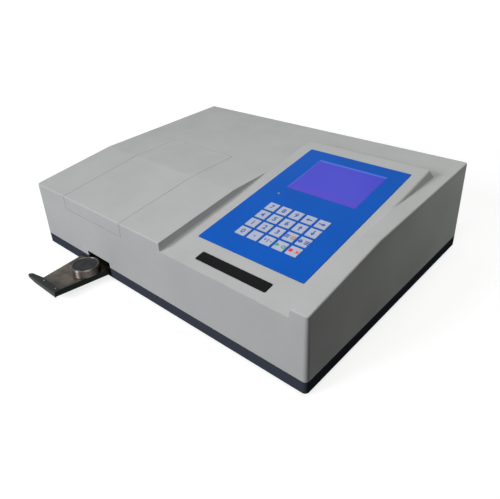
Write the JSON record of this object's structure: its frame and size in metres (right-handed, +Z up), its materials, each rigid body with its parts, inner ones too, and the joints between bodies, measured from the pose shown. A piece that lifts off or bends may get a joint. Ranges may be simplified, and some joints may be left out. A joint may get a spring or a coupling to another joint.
{
  "type": "x-ray fluorescence spectrometer",
  "caption": "Low benchtop x-ray spectrometer with a hinged lid, a sloping keypad and display panel, and a pull-out drawer that carries a pressed sample under the head.",
  "frame": {"origin": "on the bench, under the middle of the whole object with its drawer out", "axes": "+X right along the front, +Y to the back, +Z up"},
  "size_m": [0.468, 0.429, 0.1358],
  "materials": {
    "cover_plastic": "satin moulded",
    "base_plastic": "fine texture",
    "foot_rubber": "matt",
    "screw_steel": "bright",
    "overlay_blue": "fine film",
    "window_clear": "polished",
    "lcd_frame": "satin",
    "board_green": "solder mask",
    "dome_steel": "bright",
    "lamp_lens": "clear",
    "label_black": "gloss",
    "key_grey": "satin film",
    "lid_plastic": "satin moulded",
    "hinge_steel": "plated",
    "catch_black": "moulded",
    "drawer_steel": "brushed",
    "handle_black": "satin",
    "ring_steel": "turned",
    "pellet_powder": "pressed",
    "rail_nylon": "moulded",
    "head_aluminium": "machined",
    "tube_steel": "drawn",
    "source_lead": "satin",
    "module_tin": "plated",
    "core_iron": "varnished",
    "panel_paint": "powder coat",
    "inlet_black": "moulded",
    "pin_nickel": "plated",
    "rocker_black": "satin",
    "socket_shell": "plated"
  },
  "bodies": {
    "housing": {"top_cover": "cover_plastic", "base_tray": "base_plastic", "rubber_feet": "foot_rubber", "case_screws": "screw_steel", "keypad_overlay": "overlay_blue", "lcd_window": "window_clear", "lcd_module": "lcd_frame", "display_board": "board_green", "key_domes": "dome_steel", "indicator_led": "lamp_lens", "label_strip": "label_black", "hinge_brackets": "hinge_steel", "hinge_pins": "hinge_steel", "lid_catch": "catch_black", "drawer_rails": "rail_nylon", "head_frame": "module_tin", "measuring_head": "head_aluminium", "detector_tube": "tube_steel", "source_holder": "source_lead", "preamp_box": "head_aluminium", "hv_module": "module_tin", "main_board": "board_green", "power_board": "board_green", "transformer": "core_iron", "rear_panel": "panel_paint", "inlet_body": "inlet_black", "inlet_pins": "pin_nickel", "fuse_drawer": "inlet_black", "rocker_bezel": "inlet_black", "serial_connector": "socket_shell", "jack_posts": "socket_shell"},
    "lid": {"lid_panel": "lid_plastic", "lid_arms": "hinge_steel"},
    "drawer": {"drawer_tray": "drawer_steel", "drawer_handle": "handle_black", "handle_screws": "screw_steel"},
    "sample_cup": {"sample_ring": "ring_steel", "pellet": "pellet_powder"},
    "rocker": {"power_rocker": "rocker_black"},
    "key_7": {"key_7": "key_grey"},
    "key_8": {"key_8": "key_grey"},
    "key_9": {"key_9": "key_grey"},
    "key_left": {"key_left": "key_grey"},
    "key_right": {"key_right": "key_grey"},
    "key_4": {"key_4": "key_grey"},
    "key_5": {"key_5": "key_grey"},
    "key_6": {"key_6": "key_grey"},
    "key_up": {"key_up": "key_grey"},
    "key_down": {"key_down": "key_grey"},
    "key_1": {"key_1": "key_grey"},
    "key_2": {"key_2": "key_grey"},
    "key_3": {"key_3": "key_grey"},
    "key_menu": {"key_menu": "key_grey"},
    "key_print": {"key_print": "key_grey"},
    "key_0": {"key_0": "key_grey"},
    "key_point": {"key_point": "key_grey"},
    "key_sign": {"key_sign": "key_grey"},
    "key_start": {"key_start": "key_grey"},
    "key_stop": {"key_stop": "key_grey"}
  },
  "joints": [
    {"name": "drawer_slide", "type": "slide", "parent": "housing", "child": "drawer", "axis": [0, -1, 0], "range_m": [-0.062, 0]},
    {"name": "cup_lift", "type": "slide", "parent": "drawer", "child": "sample_cup", "axis": [0, 0, 1], "range_m": [0, 0.03]},
    {"name": "lid_hinge", "type": "hinge", "parent": "housing", "child": "lid", "pos_m": [-0.1025, 0.08154, 0.11334], "axis": [-1, 0, 0], "range_deg": [0, 75]},
    {"name": "power_rocker_tilt", "type": "hinge", "parent": "housing", "child": "rocker", "pos_m": [-0.072, 0.20466, 0.051], "axis": [1, 0, 0], "range_deg": [-20, 0]},
    {"name": "key_7_press", "type": "slide", "parent": "housing", "child": "key_7", "axis": [0, -0.1709, 0.9853], "range_m": [-0.0004, 0], "stiffness_N_per_m": 3000, "springref_m": 0.0001},
    {"name": "key_8_press", "type": "slide", "parent": "housing", "child": "key_8", "axis": [0, -0.1709, 0.9853], "range_m": [-0.0004, 0], "stiffness_N_per_m": 3000, "springref_m": 0.0001},
    {"name": "key_9_press", "type": "slide", "parent": "housing", "child": "key_9", "axis": [0, -0.1709, 0.9853], "range_m": [-0.0004, 0], "stiffness_N_per_m": 3000, "springref_m": 0.0001},
    {"name": "key_left_press", "type": "slide", "parent": "housing", "child": "key_left", "axis": [0, -0.1709, 0.9853], "range_m": [-0.0004, 0], "stiffness_N_per_m": 3000, "springref_m": 0.0001},
    {"name": "key_right_press", "type": "slide", "parent": "housing", "child": "key_right", "axis": [0, -0.1709, 0.9853], "range_m": [-0.0004, 0], "stiffness_N_per_m": 3000, "springref_m": 0.0001},
    {"name": "key_4_press", "type": "slide", "parent": "housing", "child": "key_4", "axis": [0, -0.1709, 0.9853], "range_m": [-0.0004, 0], "stiffness_N_per_m": 3000, "springref_m": 0.0001},
    {"name": "key_5_press", "type": "slide", "parent": "housing", "child": "key_5", "axis": [0, -0.1709, 0.9853], "range_m": [-0.0004, 0], "stiffness_N_per_m": 3000, "springref_m": 0.0001},
    {"name": "key_6_press", "type": "slide", "parent": "housing", "child": "key_6", "axis": [0, -0.1709, 0.9853], "range_m": [-0.0004, 0], "stiffness_N_per_m": 3000, "springref_m": 0.0001},
    {"name": "key_up_press", "type": "slide", "parent": "housing", "child": "key_up", "axis": [0, -0.1709, 0.9853], "range_m": [-0.0004, 0], "stiffness_N_per_m": 3000, "springref_m": 0.0001},
    {"name": "key_down_press", "type": "slide", "parent": "housing", "child": "key_down", "axis": [0, -0.1709, 0.9853], "range_m": [-0.0004, 0], "stiffness_N_per_m": 3000, "springref_m": 0.0001},
    {"name": "key_1_press", "type": "slide", "parent": "housing", "child": "key_1", "axis": [0, -0.1709, 0.9853], "range_m": [-0.0004, 0], "stiffness_N_per_m": 3000, "springref_m": 0.0001},
    {"name": "key_2_press", "type": "slide", "parent": "housing", "child": "key_2", "axis": [0, -0.1709, 0.9853], "range_m": [-0.0004, 0], "stiffness_N_per_m": 3000, "springref_m": 0.0001},
    {"name": "key_3_press", "type": "slide", "parent": "housing", "child": "key_3", "axis": [0, -0.1709, 0.9853], "range_m": [-0.0004, 0], "stiffness_N_per_m": 3000, "springref_m": 0.0001},
    {"name": "key_menu_press", "type": "slide", "parent": "housing", "child": "key_menu", "axis": [0, -0.1709, 0.9853], "range_m": [-0.0004, 0], "stiffness_N_per_m": 3000, "springref_m": 0.0001},
    {"name": "key_print_press", "type": "slide", "parent": "housing", "child": "key_print", "axis": [0, -0.1709, 0.9853], "range_m": [-0.0004, 0], "stiffness_N_per_m": 3000, "springref_m": 0.0001},
    {"name": "key_0_press", "type": "slide", "parent": "housing", "child": "key_0", "axis": [0, -0.1709, 0.9853], "range_m": [-0.0004, 0], "stiffness_N_per_m": 3000, "springref_m": 0.0001},
    {"name": "key_point_press", "type": "slide", "parent": "housing", "child": "key_point", "axis": [0, -0.1709, 0.9853], "range_m": [-0.0004, 0], "stiffness_N_per_m": 3000, "springref_m": 0.0001},
    {"name": "key_sign_press", "type": "slide", "parent": "housing", "child": "key_sign", "axis": [0, -0.1709, 0.9853], "range_m": [-0.0004, 0], "stiffness_N_per_m": 3000, "springref_m": 0.0001},
    {"name": "key_start_press", "type": "slide", "parent": "housing", "child": "key_start", "axis": [0, -0.1709, 0.9853], "range_m": [-0.0004, 0], "stiffness_N_per_m": 3000, "springref_m": 0.0001},
    {"name": "key_stop_press", "type": "slide", "parent": "housing", "child": "key_stop", "axis": [0, -0.1709, 0.9853], "range_m": [-0.0004, 0], "stiffness_N_per_m": 3000, "springref_m": 0.0001}
  ]
}
